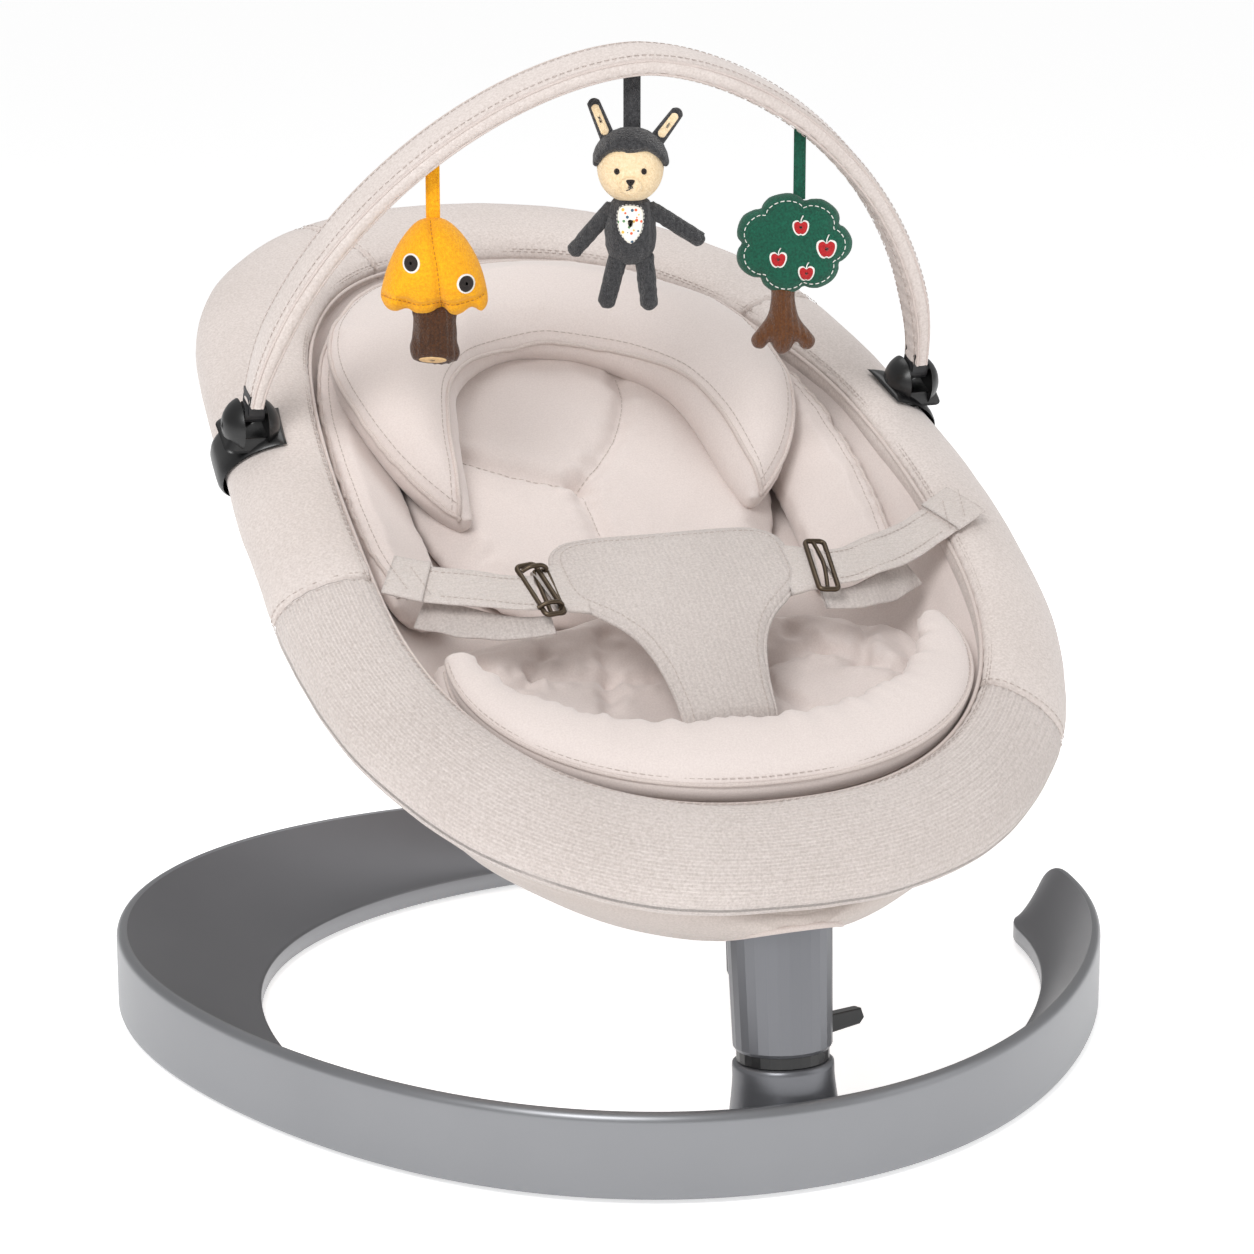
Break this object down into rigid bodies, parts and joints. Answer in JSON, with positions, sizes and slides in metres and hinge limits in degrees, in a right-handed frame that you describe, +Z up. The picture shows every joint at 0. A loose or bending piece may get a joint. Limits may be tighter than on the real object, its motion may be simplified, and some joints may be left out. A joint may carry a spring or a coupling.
{
  "type": "baby bouncer seat",
  "caption": "Reclining oval bouncer seat with cushions and waist harness on a swivel column over a C-shaped ring base, with a folding toy bar and hanging plush toys.",
  "frame": {"origin": "on the floor under the swivel column, on the underside of the hub's rubber pad", "axes": "+Z up, -Y to the foot end of the seat, +Y to the head end, the seat's middle plane at X = 0"},
  "size_m": [0.6838, 0.7104, 0.6647],
  "materials": {
    "cast_aluminium": "satin anodised",
    "frame_metal": "drawn tube",
    "steel": "turned",
    "antique_brass": "dark antiqued",
    "gloss_black": "gloss",
    "nylon": "matte",
    "foot_rubber": "matte",
    "knit": "melange knit",
    "lining": "plain knit",
    "satin": "soft brushed",
    "yellow_plush": "short plush",
    "brown_plush": "short plush",
    "charcoal_plush": "corduroy plush",
    "green_plush": "felt"
  },
  "bodies": {
    "base": {"base_ring": "cast_aluminium", "foot_pad_hub": "foot_rubber", "foot_pad_1": "foot_rubber", "foot_pad_2": "foot_rubber", "foot_pad_3": "foot_rubber", "foot_pad_4": "foot_rubber", "foot_pad_5": "foot_rubber", "foot_pad_6": "foot_rubber", "foot_pad_7": "foot_rubber", "spindle": "steel", "thrust_washer": "gloss_black", "retaining_ring": "steel"},
    "stem": {"stem_column": "cast_aluminium", "lower_bush": "nylon", "upper_bush": "nylon", "recline_pin": "steel"},
    "brake_lever": {"sway_lever": "gloss_black"},
    "brake_shoe": {"brake_plunger": "nylon"},
    "seat": {"frame_tube_foot": "frame_metal", "frame_tube_head": "frame_metal", "cradle_tube_front": "frame_metal", "cradle_tube_rear": "frame_metal", "rim_right_panel": "knit", "rim_head_panel": "knit", "rim_left_panel": "knit", "rim_foot_panel": "knit", "chassis_beam": "nylon", "pawl_spring": "steel", "seat_sling": "lining", "under_cover": "lining", "seat_pad": "satin", "back_pad": "satin", "foot_bolster": "satin", "head_hugger": "satin", "side_pad_left": "satin", "side_pad_right": "satin", "crotch_pad": "knit", "waist_belt_left": "knit", "waist_belt_right": "knit", "loop_buckle": "antique_brass", "hook_buckle": "antique_brass", "bar_clip_left": "gloss_black", "bar_clip_right": "gloss_black", "bar_pin_left": "steel", "bar_pin_right": "steel"},
    "recline_catch": {"recline_pawl": "gloss_black"},
    "toy_bar": {"bar_end_left": "nylon", "bar_end_right": "nylon", "bar_sleeve": "knit", "bar_core": "frame_metal"},
    "toy_mushroom": {"mushroom_strap": "yellow_plush", "mushroom_cap": "yellow_plush", "mushroom_stem": "brown_plush"},
    "toy_animal": {"animal_strap": "charcoal_plush", "animal_head": "charcoal_plush", "animal_body": "charcoal_plush"},
    "toy_tree": {"tree_strap": "green_plush", "tree_crown": "green_plush", "tree_trunk": "brown_plush"}
  },
  "joints": [
    {"name": "sway", "type": "hinge", "parent": "base", "child": "stem", "pos_m": [0, 0, 0.075], "axis": [0, 0.0958, 0.9954], "range_deg": [-25, 25]},
    {"name": "brake_lever_turn", "type": "hinge", "parent": "stem", "child": "brake_lever", "pos_m": [0.02608, 0.00811, 0.08628], "axis": [0.2588, -0.9615, 0.0926], "range_deg": [0, 12]},
    {"name": "brake_shoe_press", "type": "slide", "parent": "stem", "child": "brake_shoe", "axis": [0, -0.0958, -0.9954], "range_m": [0, 0.00142]},
    {"name": "recline", "type": "hinge", "parent": "stem", "child": "seat", "pos_m": [0, 0.062, 0.151], "axis": [1, 0, 0], "range_deg": [-10, 0]},
    {"name": "recline_release", "type": "slide", "parent": "seat", "child": "recline_catch", "axis": [0, 0.866, 0.5], "range_m": [0, 0.006], "stiffness_N_per_m": 400, "springref_m": -0.003},
    {"name": "toy_bar_fold", "type": "hinge", "parent": "seat", "child": "toy_bar", "pos_m": [0, 0.32402, 0.43078], "axis": [1, 0, 0], "range_deg": [-50, 35]},
    {"name": "mushroom_swing", "type": "hinge", "parent": "toy_bar", "child": "toy_mushroom", "pos_m": [-0.13073, 0.26563, 0.59121], "axis": [1, 0, 0], "range_deg": [-20, 20]},
    {"name": "animal_swing", "type": "hinge", "parent": "toy_bar", "child": "toy_animal", "pos_m": [-0.00374, 0.24591, 0.6454], "axis": [1, 0, 0], "range_deg": [-20, 20]},
    {"name": "tree_swing", "type": "hinge", "parent": "toy_bar", "child": "toy_tree", "pos_m": [0.12032, 0.26275, 0.59911], "axis": [1, 0, 0], "range_deg": [-20, 20]}
  ],
  "couplings": [
    {"joint": "brake_shoe_press", "follows": "brake_lever_turn", "m_per_rad": 0.00669}
  ]
}
